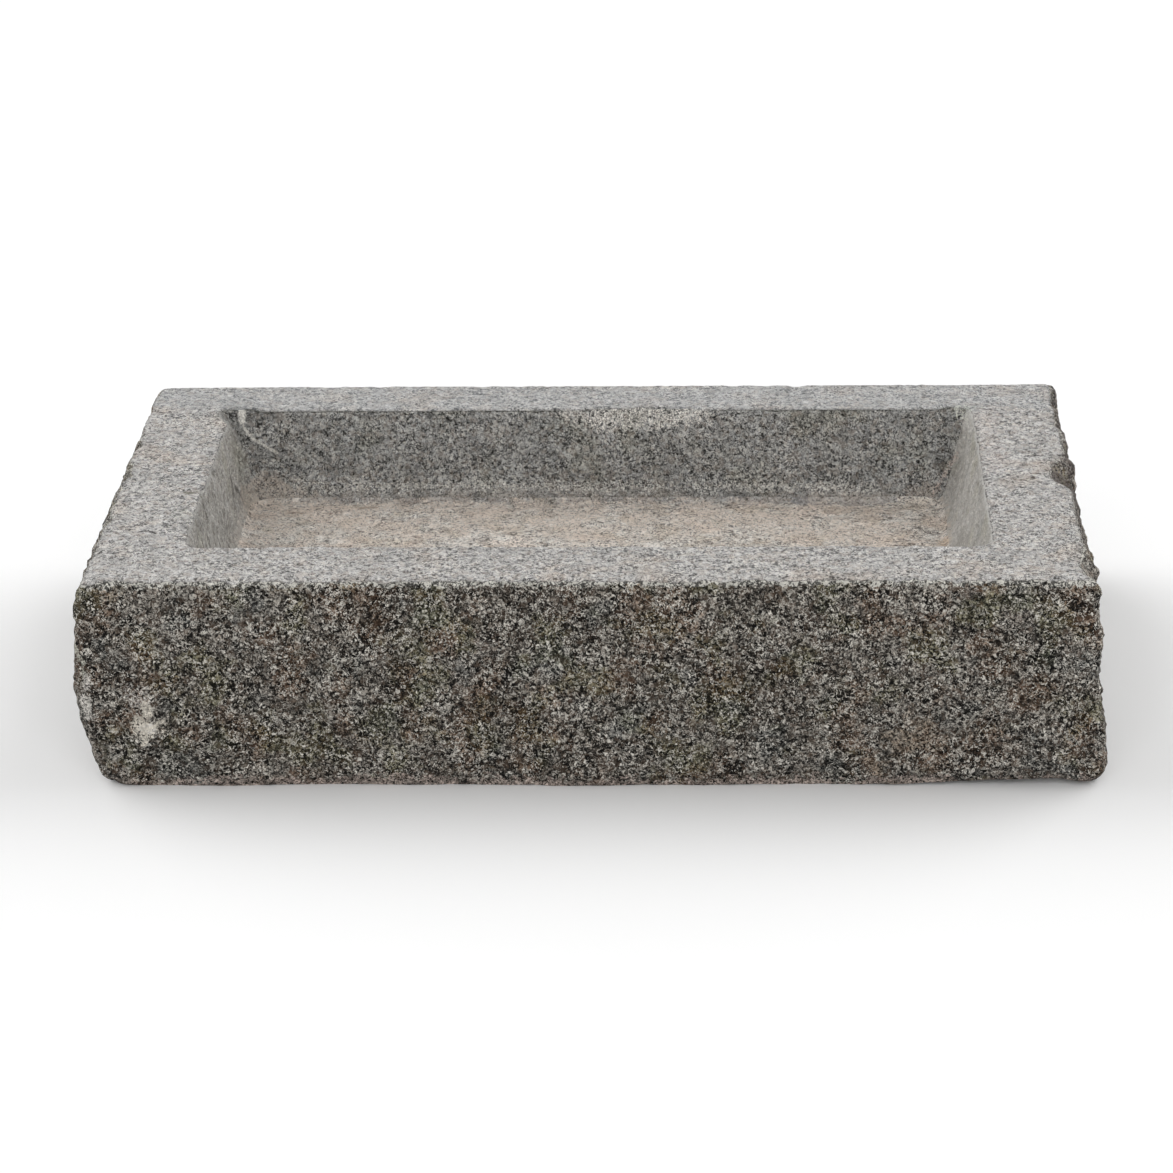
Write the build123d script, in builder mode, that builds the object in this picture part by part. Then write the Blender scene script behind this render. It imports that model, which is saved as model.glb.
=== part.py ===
"""Rectangular granite bird bath, worked out of one block of stone.

The top and the bottom are sawn flat. The four sides are split faces, left as they
broke, and a shallow basin with leaning walls is cut into the top. The stone is one
piece: it has no fittings, no outlet and no separate foot.

Units are millimetres. +X runs to the right along the long side, +Y to the back and
+Z up. The origin is on the sawn bottom, under the middle of the sawn top.
"""

import os
from math import cos, sin, sqrt, tau
from typing import NamedTuple

from build123d import *

# The block
length = 500.0
width = 300.0
height = 112.0

# The rim that is left standing around the basin, measured on the sawn top
side_rim = 45.0
front_rim = 48.0
back_rim = 42.0

# The basin: how deep it is, and how far the foot of each wall stands inside its top
basin_depth = 50.0
left_wall_lean = 8.0
right_wall_lean = 13.0
front_wall_lean = 10.0
back_wall_lean = 10.0
mouth_corner_radius = 9.0
floor_corner_radius = 16.0
floor_sweep_radius = 9.0  # the walls run into the floor through this radius
rim_wear_radius = 1.5
cut_overrun = 5.0

# The split faces
facet_length = 25.0  # about one facet along a side
face_relief = 8.0  # how far a split face swells out beyond the sawn top
face_swing = 3.0  # how far it waves in and out along its length
long_wave = 210.0
short_wave = 83.0
upright_wave = 140.0
corner_break = 14.0  # how far an upright corner is knocked back

# How the swing is divided between the long and the short wave
long_wave_share = 0.6
short_wave_share = 0.4

# Where the middle of a broken corner stands, between the sharp corner and the break
corner_bow_share = 0.32

# Heights of the outlines that shape the split faces, from the bottom to the top
level_shares = (0.0, 0.05, 0.13, 0.26, 0.45, 0.68, 0.88, 1.0)

# For each side, at each level: the swelling as a share of the relief
front_swell_shares = (-0.2, 0.05, 0.2, 0.42, 0.55, 0.5, 0.32, 0.0)
right_swell_shares = (0.95, 1.1, 1.15, 1.15, 0.95, 0.85, 0.55, 0.1)
back_swell_shares = (-0.2, 0.05, 0.25, 0.5, 0.65, 0.6, 0.35, 0.0)
left_swell_shares = (-0.85, -0.45, 0.0, 0.55, 0.85, 0.95, 0.7, 0.15)

# For each corner, at each level: the loss as a share of the corner break
front_left_loss_shares = (1.15, 0.9, 0.75, 0.55, 0.4, 0.35, 0.25, 0.12)
front_right_loss_shares = (0.55, 0.4, 0.35, 0.3, 0.35, 0.3, 0.25, 0.12)
back_right_loss_shares = (0.9, 0.8, 0.7, 0.55, 0.5, 0.5, 0.4, 0.25)
back_left_loss_shares = (0.8, 0.7, 0.6, 0.5, 0.6, 0.6, 0.45, 0.2)

# How much of the wave along a side is let through at each level
wave_shares = (0.5, 0.7, 0.9, 1.0, 1.0, 1.0, 0.7, 0.25)

# The spall off the top edge of the right side: a shallow scoop out of a large ball
spall_ball_radius = 52.0
spall_ball_lift = 24.0  # the ball's middle lies above the sawn top
spall_bite = 6.0  # what the spall takes off the sawn top
spall_place_share = 0.02  # of the width, from the middle to the back

# Derived sizes
mouth_length = length - 2 * side_rim
mouth_width = width - front_rim - back_rim
mouth_shift = (front_rim - back_rim) / 2
floor_length = mouth_length - left_wall_lean - right_wall_lean
floor_width = mouth_width - front_wall_lean - back_wall_lean
floor_place = (
    (left_wall_lean - right_wall_lean) / 2,
    mouth_shift + (front_wall_lean - back_wall_lean) / 2,
)
floor_height = height - basin_depth
spall_ball_reach = sqrt(spall_ball_radius**2 - spall_ball_lift**2)


class Side(NamedTuple):
    """One split face, followed counter-clockwise around the block."""

    start: tuple  # its first corner, in halves of the block's length and width
    along: tuple  # the way it runs
    out: tuple  # the way it faces
    run_length: float
    swell_shares: tuple
    loss_shares: tuple  # of its first corner
    phase: float  # where its waves start


sides = (
    Side((-1, -1), (1, 0), (0, -1), length, front_swell_shares, front_left_loss_shares, 0.4),
    Side((1, -1), (0, 1), (1, 0), width, right_swell_shares, front_right_loss_shares, 1.9),
    Side((1, 1), (-1, 0), (0, 1), length, back_swell_shares, back_right_loss_shares, 3.3),
    Side((-1, 1), (0, -1), (-1, 0), width, left_swell_shares, back_left_loss_shares, 5.1),
)


def face_offset(side, run, level):
    """How far a split face stands out, at a run along it and on one of the levels."""
    upright_turn = tau * height * level_shares[level] / upright_wave
    long_part = sin(tau * run / long_wave + side.phase) * cos(upright_turn)
    short_part = cos(tau * run / short_wave + 2 * side.phase + upright_turn)
    swing = long_wave_share * long_part + short_wave_share * short_part
    swell = face_relief * side.swell_shares[level]
    return swell + face_swing * swing * wave_shares[level]


def block_outline(level):
    """The points of the block's broken outline on one level."""
    points = []
    for number, side in enumerate(sides):
        before = sides[number - 1]
        after = sides[(number + 1) % len(sides)]
        loss = corner_break * side.loss_shares[level]
        next_loss = corner_break * after.loss_shares[level]
        # The face next door moves this face's two ends out or in
        start_run = -face_offset(before, before.run_length, level)
        end_run = side.run_length + face_offset(after, 0, level)
        bow = loss * corner_bow_share
        steps = round(side.run_length / facet_length)
        places = [(start_run + bow, face_offset(side, 0, level) - bow)]
        for step in range(steps + 1):
            run = start_run + loss + (end_run - next_loss - start_run - loss) * step / steps
            places.append((run, face_offset(side, run, level)))
        for run, offset in places:
            x = side.start[0] * length / 2 + side.along[0] * run + side.out[0] * offset
            y = side.start[1] * width / 2 + side.along[1] * run + side.out[1] * offset
            points.append((x, y))
    return points


# The hollow that is cut out of the block
with BuildPart() as basin_hollow:
    with BuildSketch(Plane.XY.offset(height)) as basin_mouth:
        with Locations((0, mouth_shift)):
            RectangleRounded(mouth_length, mouth_width, mouth_corner_radius)
    with BuildSketch(Plane.XY.offset(floor_height)):
        with Locations(floor_place):
            RectangleRounded(floor_length, floor_width, floor_corner_radius)
    loft(ruled=True)
    fillet(basin_hollow.edges().group_by(Axis.Z)[0], radius=floor_sweep_radius)
    extrude(basin_mouth.sketch, amount=cut_overrun)

# The ball that the spall is scooped out with
with BuildPart() as spall_ball:
    spall_ball_place = (
        length / 2 + spall_ball_reach - spall_bite,
        width * spall_place_share,
        height + spall_ball_lift,
    )
    with Locations(spall_ball_place):
        Sphere(spall_ball_radius)

# The stone: the split block, less its spall and its basin
with BuildPart() as granite_block:
    for level, level_share in enumerate(level_shares):
        with BuildSketch(Plane.XY.offset(height * level_share)):
            with BuildLine():
                Polyline(*block_outline(level), close=True)
            make_face()
    loft(ruled=True)
    add(spall_ball.part, mode=Mode.SUBTRACT)
    add(basin_hollow.part, mode=Mode.SUBTRACT)
    sawn_top = granite_block.faces().filter_by(Plane.XY).sort_by(Axis.Z)[-1]
    fillet(sawn_top.inner_wires()[0].edges(), radius=rim_wear_radius)

granite_block.part.label = "granite_block"

os.makedirs("parts", exist_ok=True)
export_step(granite_block.part, "parts/granite_block.step")
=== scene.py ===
"""A granite bird bath: one block of stone with split sides, a flamed top and a silted basin.

The stone is roughed out from a cube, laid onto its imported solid, and then broken, chipped and
worn. Lengths are metres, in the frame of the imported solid: X runs right, Y back and Z up. Only
the tables of breaks, swells, roughnesses and marks are in millimetres.
"""

from __future__ import annotations

import logging
import math
from collections.abc import Callable, Iterator
from contextlib import contextmanager
from dataclasses import dataclass, field
from enum import Enum

import bmesh
import bpy
import numpy as np
from mathutils import Matrix, Vector, noise
from mathutils.bvhtree import BVHTree


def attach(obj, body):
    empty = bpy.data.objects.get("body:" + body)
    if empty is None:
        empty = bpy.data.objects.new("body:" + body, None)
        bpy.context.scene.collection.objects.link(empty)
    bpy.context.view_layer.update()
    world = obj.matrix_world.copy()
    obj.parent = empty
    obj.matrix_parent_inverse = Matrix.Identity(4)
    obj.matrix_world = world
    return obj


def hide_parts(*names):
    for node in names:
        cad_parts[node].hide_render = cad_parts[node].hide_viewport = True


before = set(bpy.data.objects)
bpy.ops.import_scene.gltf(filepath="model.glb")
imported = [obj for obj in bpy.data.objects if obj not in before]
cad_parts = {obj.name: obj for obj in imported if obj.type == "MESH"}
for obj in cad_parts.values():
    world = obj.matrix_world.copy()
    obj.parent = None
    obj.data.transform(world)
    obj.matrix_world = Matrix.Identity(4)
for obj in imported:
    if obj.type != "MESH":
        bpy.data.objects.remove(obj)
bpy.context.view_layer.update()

log = logging.getLogger("bird_bath")

MM = 0.001
SLACK = MM / 100
DIAGONAL = math.sqrt(0.5)
NODE = "granite_block"
BODY = "root"

Colour = tuple[float, float, float]
Place = tuple[float, float, float]
Test = Callable[[Vector, Vector], bool]


class Zone(Enum):
    """The kinds of surface on the stone, numbered as its material slots."""

    SPLIT = 0
    SAWN = 1
    WALL = 2
    FLOOR = 3
    BED = 4


class Side(Enum):
    """The four sides, each with the way it faces."""

    FRONT = (0.0, -1.0)
    RIGHT = (1.0, 0.0)
    BACK = (0.0, 1.0)
    LEFT = (-1.0, 0.0)


class Grain(Enum):
    """Noise bases of a Displace modifier's texture, by what they look like in stone."""

    SOFT = "BLENDER_ORIGINAL"
    LUMPY = "VORONOI_F1"


class Pick(Enum):
    """What is chosen in edit mode."""

    FACES = "FACE"
    EDGES = "EDGE"


# Mesh helpers


@contextmanager
def edit_mode(piece: bpy.types.Object) -> Iterator[None]:
    """Open a piece alone in edit mode, and leave it again at the end."""
    bpy.ops.object.select_all(action="DESELECT")
    piece.select_set(True)
    bpy.context.view_layer.objects.active = piece
    bpy.ops.object.mode_set(mode="EDIT")
    try:
        yield
    finally:
        bpy.ops.object.mode_set(mode="OBJECT")


def choose(piece: bpy.types.Object, pick: Pick, test: Test) -> None:
    """Select only the faces or edges that pass a test, in edit mode.

    Args:
        piece: the mesh object in edit mode.
        pick: faces or edges.
        test: takes the middle of one of them, and its first edge from end to end.
    """
    bpy.ops.mesh.select_mode(type=pick.value)
    bpy.ops.mesh.select_all(action="DESELECT")
    mesh = bmesh.from_edit_mesh(piece.data)
    for item in mesh.faces if pick is Pick.FACES else mesh.edges:
        corners = [corner.co for corner in item.verts]
        if test(sum(corners, Vector()) / len(corners), corners[1] - corners[0]):
            item.select_set(True)
    bmesh.update_edit_mesh(piece.data)


def read(items: bpy.types.bpy_prop_collection, name: str, width: int = 3) -> np.ndarray:
    """Return a property of many mesh items: a row of numbers each, or one whole number."""
    values = np.empty(len(items) * width, np.float32 if width > 1 else np.int32)
    items.foreach_get(name, values)
    return values.reshape(-1, width).astype(float) if width > 1 else values


def read_places(piece: bpy.types.Object) -> np.ndarray:
    """Return a piece's vertex places, one row each."""
    return read(piece.data.vertices, "co")


def write_places(piece: bpy.types.Object, places: np.ndarray) -> None:
    """Give a piece's vertices new places, one row each."""
    piece.data.vertices.foreach_set("co", places.astype(np.float32).ravel())
    piece.data.update()


def store(piece: bpy.types.Object, name: str, values: np.ndarray) -> None:
    """Keep one number for each vertex as an attribute that materials can read."""
    attribute = piece.data.attributes.new(name, "FLOAT", "POINT")
    attribute.data.foreach_set("value", values.astype(np.float32))


def eased(values: np.ndarray, low: float, high: float) -> np.ndarray:
    """Return a smooth rise from 0 at low to 1 at high, which may be lower than low."""
    share = np.clip((values - low) / (high - low), 0.0, 1.0)
    return share * share * (3.0 - 2.0 * share)


def ripple(places: np.ndarray, size: float, seed: float) -> np.ndarray:
    """Return smooth noise from -1 to 1 at each place.

    Args:
        places: one row for each point.
        size: about one wave of the noise.
        seed: shifts the noise, so that two ripples differ.
    """
    shift = Vector((seed, 2.0 * seed, -seed))
    return np.array([noise.noise(Vector(place) / size + shift) for place in places])


def crowded_ends(share: np.ndarray, pull: float) -> np.ndarray:
    """Move even shares from 0 to 1 closer to both ends."""
    return share - pull * np.sin(math.tau * share) / math.tau


def crowded_start(share: np.ndarray, pull: float) -> np.ndarray:
    """Move even shares from 0 to 1 closer to the start."""
    return (1.0 - pull) * share + pull * share * share


# The stone


@dataclass(frozen=True)
class Outline:
    """An upright outline: a rectangle with round corners."""

    left: float
    right: float
    front: float
    back: float
    corner: float

    @property
    def centre(self) -> np.ndarray:
        """The middle of the rectangle."""
        return np.array((self.left + self.right, self.front + self.back)) / 2

    @property
    def half(self) -> np.ndarray:
        """Half its length and half its width."""
        return np.array((self.right - self.left, self.back - self.front)) / 2

    def holds(self, places: np.ndarray, slack: float = SLACK) -> np.ndarray:
        """Tell which places lie in the rectangle, seen from above, or within a slack of it."""
        return (np.abs(places[..., :2] - self.centre) < self.half + slack).all(-1)

    def measure(self, places: np.ndarray) -> tuple[np.ndarray, np.ndarray, np.ndarray]:
        """Find the point of the outline that is nearest to each place, seen from above.

        Args:
            places: one row for each point.

        Returns:
            The nearest points, the ways straight out of the outline there, and how far
            inside each place lies.
        """
        centre, half = self.centre, self.half
        core = half - self.corner
        local = places[:, :2] - centre
        sign = np.where(local < 0, -1.0, 1.0)
        beyond = np.abs(local) - core
        cornered = (beyond > 0).all(1)[:, None]
        slanted = beyond / np.maximum(np.linalg.norm(beyond, axis=1), 1e-9)[:, None]
        straight = np.eye(2)[np.argmax(beyond, axis=1)]
        way = np.where(cornered, slanted, straight)
        on_side = np.where(straight > 0, half, np.abs(local))
        nearest = np.where(cornered, core + way * self.corner, on_side)
        inside = np.einsum("ij,ij->i", nearest - np.abs(local), way)
        return centre + nearest * sign, way * sign, inside


@dataclass(frozen=True)
class Break:
    """A piece that is gone from an edge of the sawn top."""

    place: tuple[float, float]
    reach: float
    bite: float
    drop: float


@dataclass(frozen=True)
class Swell:
    """A place where a split face stands out more, or less if its height is negative."""

    place: Place
    reach: float
    height: float


@dataclass(frozen=True)
class Edge:
    """An edge of the sawn top, and how it is worn."""

    outline: Outline
    outward: bool
    grit: float
    dents: float
    breaks: tuple[Break, ...]

    def bites(self, spots: np.ndarray) -> tuple[np.ndarray, np.ndarray]:
        """Find how much is broken off along the edge.

        Args:
            spots: points on the edge, one row each.

        Returns:
            How far each point has moved into the stone, and how far down that reaches.
        """
        bite = self.grit * (0.6 + ripple(spots, 0.0035, 3.1))
        bite += 5.0 * self.grit * np.maximum(ripple(spots, 0.010, 7.7) - 0.15, 0.0)
        bite = np.maximum(bite, 0.0)
        fall = MM + 2.0 * bite
        torn = 1.0 + 0.7 * ripple(spots, 0.005, 11.3)
        for piece in self.breaks:
            distance = np.linalg.norm(spots[:, :2] - np.array(piece.place) * MM, axis=1)
            share = np.maximum(1.0 - (distance / (piece.reach * MM)) ** 2, 0.0) * torn
            bite += piece.bite * MM * share
            fall += piece.drop * MM * share
        return bite, fall


@dataclass(frozen=True)
class Roughness:
    """One layer of broken surface, as a Displace modifier with its own noise."""

    name: str
    grain: Grain
    size: float
    height: float
    zone: str
    depth: int = 1


@dataclass(frozen=True)
class Island:
    """Where one flat piece of the stone's skin lies on its UV sheet."""

    corner: tuple[float, float]
    scale: float = 1.0
    turned: bool = False


@dataclass
class StoneBlock:
    """The one piece of the bird bath."""

    name: str = "granite_bird_bath"
    length: float = 0.500
    width: float = 0.300
    height: float = 0.112
    side_rim: float = 0.045
    front_rim: float = 0.048
    back_rim: float = 0.042
    basin_depth: float = 0.050
    left_lean: float = 0.008
    right_lean: float = 0.013
    front_lean: float = 0.010
    back_lean: float = 0.010
    mouth_corner: float = 0.009
    floor_corner: float = 0.016
    upright_corner: float = 0.008
    long_parts: int = 98
    cross_parts: int = 50
    rim_parts: int = 22
    upright_parts: int = 54
    wall_parts: int = 26
    rim_pull: float = 0.45
    drop_pull: float = 0.3
    hollow_corner: float = 0.0010
    hollow_reach: float = 0.006
    give: float = 0.03
    edge_reach: float = 0.030
    wear: float = 0.0005
    foot_lift: float = 0.0042
    foot_waves: float = 0.0007
    smooth_angle: float = math.radians(60.0)
    sheet_size: float = 0.708
    outer_breaks: tuple[Break, ...] = (
        Break((250, 4), 20, 2.5, 10),
        Break((250, -128), 26, 3.0, 12),
        Break((-250, 146), 16, 1.4, 4),
        Break((-250, 52), 10, 1.8, 6),
        Break((-250, 8), 16, 2.5, 8),
        Break((-250, -60), 12, 2.0, 7),
    )
    mouth_breaks: tuple[Break, ...] = (
        Break((2, 108), 12, 3.0, 6),
        Break((22, 108), 11, 4.2, 9),
        Break((41, 108), 12, 2.5, 6),
        Break((-203, 102), 15, 6.0, 12),
        Break((-205, 60), 7, 0.6, 2),
        Break((-205, 14), 6, 1.2, 3),
        Break((-205, -22), 8, 1.5, 4),
        Break((-205, -52), 6, 1.1, 3),
        Break((-205, -78), 9, 0.7, 2),
        Break((196, 106), 10, 3.0, 6),
    )
    swells: tuple[Swell, ...] = (
        Swell((256, 36, 99), 22, 4.6),
        Swell((256, -112, 99), 24, 3.0),
        Swell((-254, -15, 102), 12, 2.0),
        Swell((-250, -150, 56), 34, 2.6),
        Swell((250, -150, 86), 20, 2.0),
        Swell((-250, 105, 108), 36, -3.4),
        Swell((250, 64, 108), 16, 2.2),
        Swell((250, -150, 106), 14, 4.2),
        Swell((250, -150, 6), 14, 2.0),
        Swell((-248, -150, 0), 12, 3.4),
        Swell((-236, -150, 0), 10, 2.4),
        Swell((-250, -150, 34), 14, 1.6),
        Swell((248, 148, 112), 18, 2.4),
        Swell((-222.5, -150, 28), 14, 4.5),
        Swell((-224, -150, 44), 10, 2.5),
    )
    roughnesses: tuple[Roughness, ...] = (
        Roughness("split_swells", Grain.SOFT, 45, 3.0, "split_large"),
        Roughness("split_breaks", Grain.LUMPY, 15, 2.8, "split"),
        Roughness("split_chips", Grain.LUMPY, 7.5, 2.0, "split"),
        Roughness("split_crumbs", Grain.SOFT, 5.0, 3.0, "split", 2),
        Roughness("flamed_waves", Grain.SOFT, 28, 0.5, "sawn"),
        Roughness("flamed_pits", Grain.SOFT, 4.8, 1.1, "sawn"),
        Roughness("wall_waves", Grain.SOFT, 18, 1.6, "wall"),
        Roughness("wall_pits", Grain.LUMPY, 7, 1.2, "wall"),
        Roughness("wall_crumbs", Grain.SOFT, 4.5, 1.2, "wall"),
        Roughness("floor_waves", Grain.SOFT, 30, 1.4, "floor"),
        Roughness("floor_pits", Grain.SOFT, 6, 1.1, "floor"),
    )
    islands: dict[str, Island] = field(
        default_factory=lambda: {
            "top": Island((0.004, 0.004)),
            "split_FRONT": Island((0.004, 0.310)),
            "split_BACK": Island((0.004, 0.428)),
            "wall_BACK": Island((0.004, 0.546)),
            "wall_FRONT": Island((0.004, 0.604)),
            "split_RIGHT": Island((0.510, 0.004), turned=True),
            "split_LEFT": Island((0.510, 0.310), turned=True),
            "wall_LEFT": Island((0.628, 0.004), turned=True),
            "wall_RIGHT": Island((0.628, 0.220), turned=True),
            "bed": Island((0.628, 0.436), scale=0.25, turned=True),
        }
    )

    @property
    def block(self) -> Outline:
        """The outline of the whole block."""
        length, width = self.length / 2, self.width / 2
        return Outline(-length, length, -width, width, self.upright_corner)

    @property
    def mouth(self) -> Outline:
        """The outline of the basin's mouth."""
        return Outline(
            -self.length / 2 + self.side_rim,
            self.length / 2 - self.side_rim,
            -self.width / 2 + self.front_rim,
            self.width / 2 - self.back_rim,
            self.mouth_corner,
        )

    @property
    def foot(self) -> Outline:
        """The outline of the basin's floor."""
        mouth = self.mouth
        return Outline(
            mouth.left + self.left_lean,
            mouth.right - self.right_lean,
            mouth.front + self.front_lean,
            mouth.back - self.back_lean,
            self.floor_corner,
        )

    @property
    def edges(self) -> tuple[Edge, Edge]:
        """The two edges of the sawn top: the outer one and the basin's mouth."""
        return (
            Edge(self.block, False, 0.0007, 1.0, self.outer_breaks),
            Edge(self.mouth, True, 0.0004, 0.3, self.mouth_breaks),
        )

    def build(self) -> bpy.types.Object:
        """Model the stone.

        Returns:
            The finished mesh object, with its zones, attributes and UV map.
        """
        stone = self._add_blank()
        self._sink_basin(stone)
        self._cut_grid(stone)
        self._close_bed(stone)
        self._crowd_rows(stone)
        self._mark_zones(stone)
        self._lay_out_skin(stone)
        self._round_corners(stone)
        self._survey(stone)
        self._lay_on_frame(stone)
        self._break_edges(stone)
        self._lift_foot(stone)
        self._round_foot(stone)
        self._roughen(stone)
        return stone

    def _add_blank(self) -> bpy.types.Object:
        """Return a plain cube, as large as the block."""
        bpy.ops.object.select_all(action="DESELECT")
        bpy.ops.mesh.primitive_cube_add(size=1.0, location=(0.0, 0.0, self.height / 2))
        stone = bpy.context.active_object
        stone.name = stone.data.name = self.name
        stone.scale = (self.length, self.width, self.height)
        bpy.ops.object.transform_apply(location=True, rotation=True, scale=True)
        return stone

    def _sink_basin(self, stone: bpy.types.Object) -> None:
        """Cut the block's skin along the mouth, and sink the basin into its top."""
        mouth, foot = self.mouth, self.foot
        middle = Vector((*mouth.centre, self.height))
        cuts = (
            (mouth.left, (1.0, 0.0, 0.0)),
            (mouth.right, (1.0, 0.0, 0.0)),
            (mouth.front, (0.0, 1.0, 0.0)),
            (mouth.back, (0.0, 1.0, 0.0)),
        )
        with edit_mode(stone):
            for place, normal in cuts:
                bpy.ops.mesh.select_all(action="SELECT")
                bpy.ops.mesh.bisect(plane_co=Vector(normal) * place, plane_no=normal)
            choose(stone, Pick.FACES, lambda centre, _: (centre - middle).length < MM)
            bpy.ops.mesh.extrude_faces_indiv()
            bpy.ops.transform.resize(
                value=(*(foot.half / mouth.half), 1.0), center_override=middle
            )
            bpy.ops.transform.translate(
                value=(*(foot.centre - mouth.centre), -self.basin_depth)
            )
            choose(stone, Pick.FACES, lambda centre, _: centre.z < MM)
            bpy.ops.mesh.delete(type="FACE")

    def _cut_grid(self, stone: bpy.types.Object) -> None:
        """Divide every face into a fine grid, row by row and column by column."""
        mouth, far, halves = self.mouth, self.length, 2

        def runs(axis: int, low: float, high: float) -> Test:
            """Return a test for edges along an axis, with their middle between two values."""

            def test(middle: Vector, span: Vector) -> bool:
                """Tell whether an edge is one of them."""
                largest = max(range(3), key=lambda number: abs(span[number]))
                return largest == axis and low < middle[axis] < high

            return test

        def drops(inner: bool) -> Test:
            """Return a test for the edges that drop down the basin's walls or the sides."""
            falls = runs(2, 0.0, self.height)
            return lambda middle, span: (
                falls(middle, span) and mouth.holds(np.array(middle), MM) == inner
            )

        cuts = (
            (drops(True), (self.wall_parts,)),
            (drops(False), (self.upright_parts,)),
            (runs(1, -far, mouth.front), (self.rim_parts,)),
            (runs(1, mouth.back, far), (self.rim_parts,)),
            (runs(1, mouth.front, mouth.back), (halves, self.cross_parts)),
            (runs(0, -far, mouth.left), (self.rim_parts,)),
            (runs(0, mouth.right, far), (self.rim_parts,)),
            (runs(0, mouth.left, mouth.right), (halves, self.long_parts)),
        )
        with edit_mode(stone):
            for test, steps in cuts:
                for parts in steps:
                    choose(stone, Pick.EDGES, test)
                    bpy.ops.mesh.subdivide(number_cuts=parts - 1)

    def _close_bed(self, stone: bpy.types.Object) -> None:
        """Close the open bottom with a fan of flat faces."""
        with edit_mode(stone):
            bpy.ops.mesh.select_mode(type="EDGE")
            bpy.ops.mesh.select_all(action="DESELECT")
            bpy.ops.mesh.select_non_manifold()
            bpy.ops.mesh.edge_face_add()
            bpy.ops.mesh.poke()
            bpy.ops.mesh.select_all(action="SELECT")
            bpy.ops.mesh.normals_make_consistent(inside=False)

    def _crowd_rows(self, stone: bpy.types.Object) -> None:
        """Draw the grid closer together at the edges, where the stone is chipped."""
        block, mouth = self.block, self.mouth
        places = read_places(stone)
        inner = self._within_mouth(places)
        for axis, start, stop in (
            (0, block.left, mouth.left),
            (0, mouth.right, block.right),
            (1, block.front, mouth.front),
            (1, mouth.back, block.back),
        ):
            on = (places[:, axis] > start) & (places[:, axis] < stop)
            share = (places[on, axis] - start) / (stop - start)
            places[on, axis] = start + (stop - start) * crowded_ends(share, self.rim_pull)
        drop = self.height - places[:, 2]
        outer = ~inner & (drop > 0)
        share = crowded_start(drop[outer] / self.height, self.drop_pull)
        places[outer, 2] = self.height * (1.0 - share)
        wall = inner & (drop > 0) & (drop < self.basin_depth)
        old = drop[wall] / self.basin_depth
        new = crowded_start(old, self.drop_pull)
        (old_middle, old_half), (middle, half) = self._basin_at(old), self._basin_at(new)
        places[wall, :2] = (places[wall, :2] - old_middle) / old_half * half + middle
        places[wall, 2] = self.height - self.basin_depth * new
        write_places(stone, places)

    def _basin_at(self, share: np.ndarray) -> tuple[np.ndarray, np.ndarray]:
        """Return the basin's middle and its half sizes, at shares of its depth."""
        mouth, foot = self.mouth, self.foot
        middle = mouth.centre + (foot.centre - mouth.centre) * share[:, None]
        return middle, mouth.half + (foot.half - mouth.half) * share[:, None]

    def _within_mouth(self, places: np.ndarray) -> np.ndarray:
        """Tell which places lie within the mouth's outline, its edge included."""
        return self.mouth.holds(places) & (places[:, 2] > MM)

    def _mark_zones(self, stone: bpy.types.Object) -> None:
        """Number each face by its zone."""
        mesh = stone.data
        normals, centres = (read(mesh.polygons, name) for name in ("normal", "center"))
        flat = np.abs(normals[:, 2]) > DIAGONAL
        heights = centres[:, 2]
        zones = np.full(len(normals), Zone.SPLIT.value, np.int32)
        zones[~flat & self._within_mouth(centres)] = Zone.WALL.value
        zones[flat & (heights > self.height - MM)] = Zone.SAWN.value
        zones[flat & (heights < self.height - MM)] = Zone.FLOOR.value
        zones[flat & (heights < MM)] = Zone.BED.value
        for _ in Zone:
            mesh.materials.append(None)
        mesh.polygons.foreach_set("material_index", zones)

    def _lay_out_skin(self, stone: bpy.types.Object) -> None:
        """Lay the stone's skin out flat on a UV sheet, all at one scale but the bed."""
        mesh = stone.data
        counts = read(mesh.polygons, "loop_total", 1)
        zones = np.repeat(read(mesh.polygons, "material_index", 1), counts)
        ways = np.repeat(read(mesh.polygons, "normal"), counts, axis=0)[:, :2]
        at = read_places(stone)[read(mesh.loops, "vertex_index", 1)]
        uv = np.zeros((len(at), 2))
        half = self.block.half

        def lay(name: str, on: np.ndarray, across: np.ndarray, up: np.ndarray) -> None:
            """Put the chosen corners on their island."""
            island = self.islands[name]
            pair = (up, across) if island.turned else (across, up)
            for axis in range(2):
                uv[on, axis] = island.corner[axis] + island.scale * pair[axis][on]

        flat = (zones == Zone.SAWN.value) | (zones == Zone.FLOOR.value)
        for name, on in (("top", flat), ("bed", zones == Zone.BED.value)):
            lay(name, on, at[:, 0] + half[0], at[:, 1] + half[1])
        for side in Side:
            out = np.array(side.value)
            along = np.abs(out[::-1])
            across = at[:, :2] @ along + half @ along
            outer = (ways @ out > DIAGONAL) & (zones == Zone.SPLIT.value)
            lay("split_" + side.name, outer, across, at[:, 2])
            inner = (ways @ -out > DIAGONAL) & (zones == Zone.WALL.value)
            rim = self.side_rim if along[0] else self.front_rim
            lay("wall_" + side.name, inner, across - rim, self.height - at[:, 2])
        layer = mesh.uv_layers.new(name="OFBake")
        layer.uv.foreach_set("vector", (uv / self.sheet_size).astype(np.float32).ravel())

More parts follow.
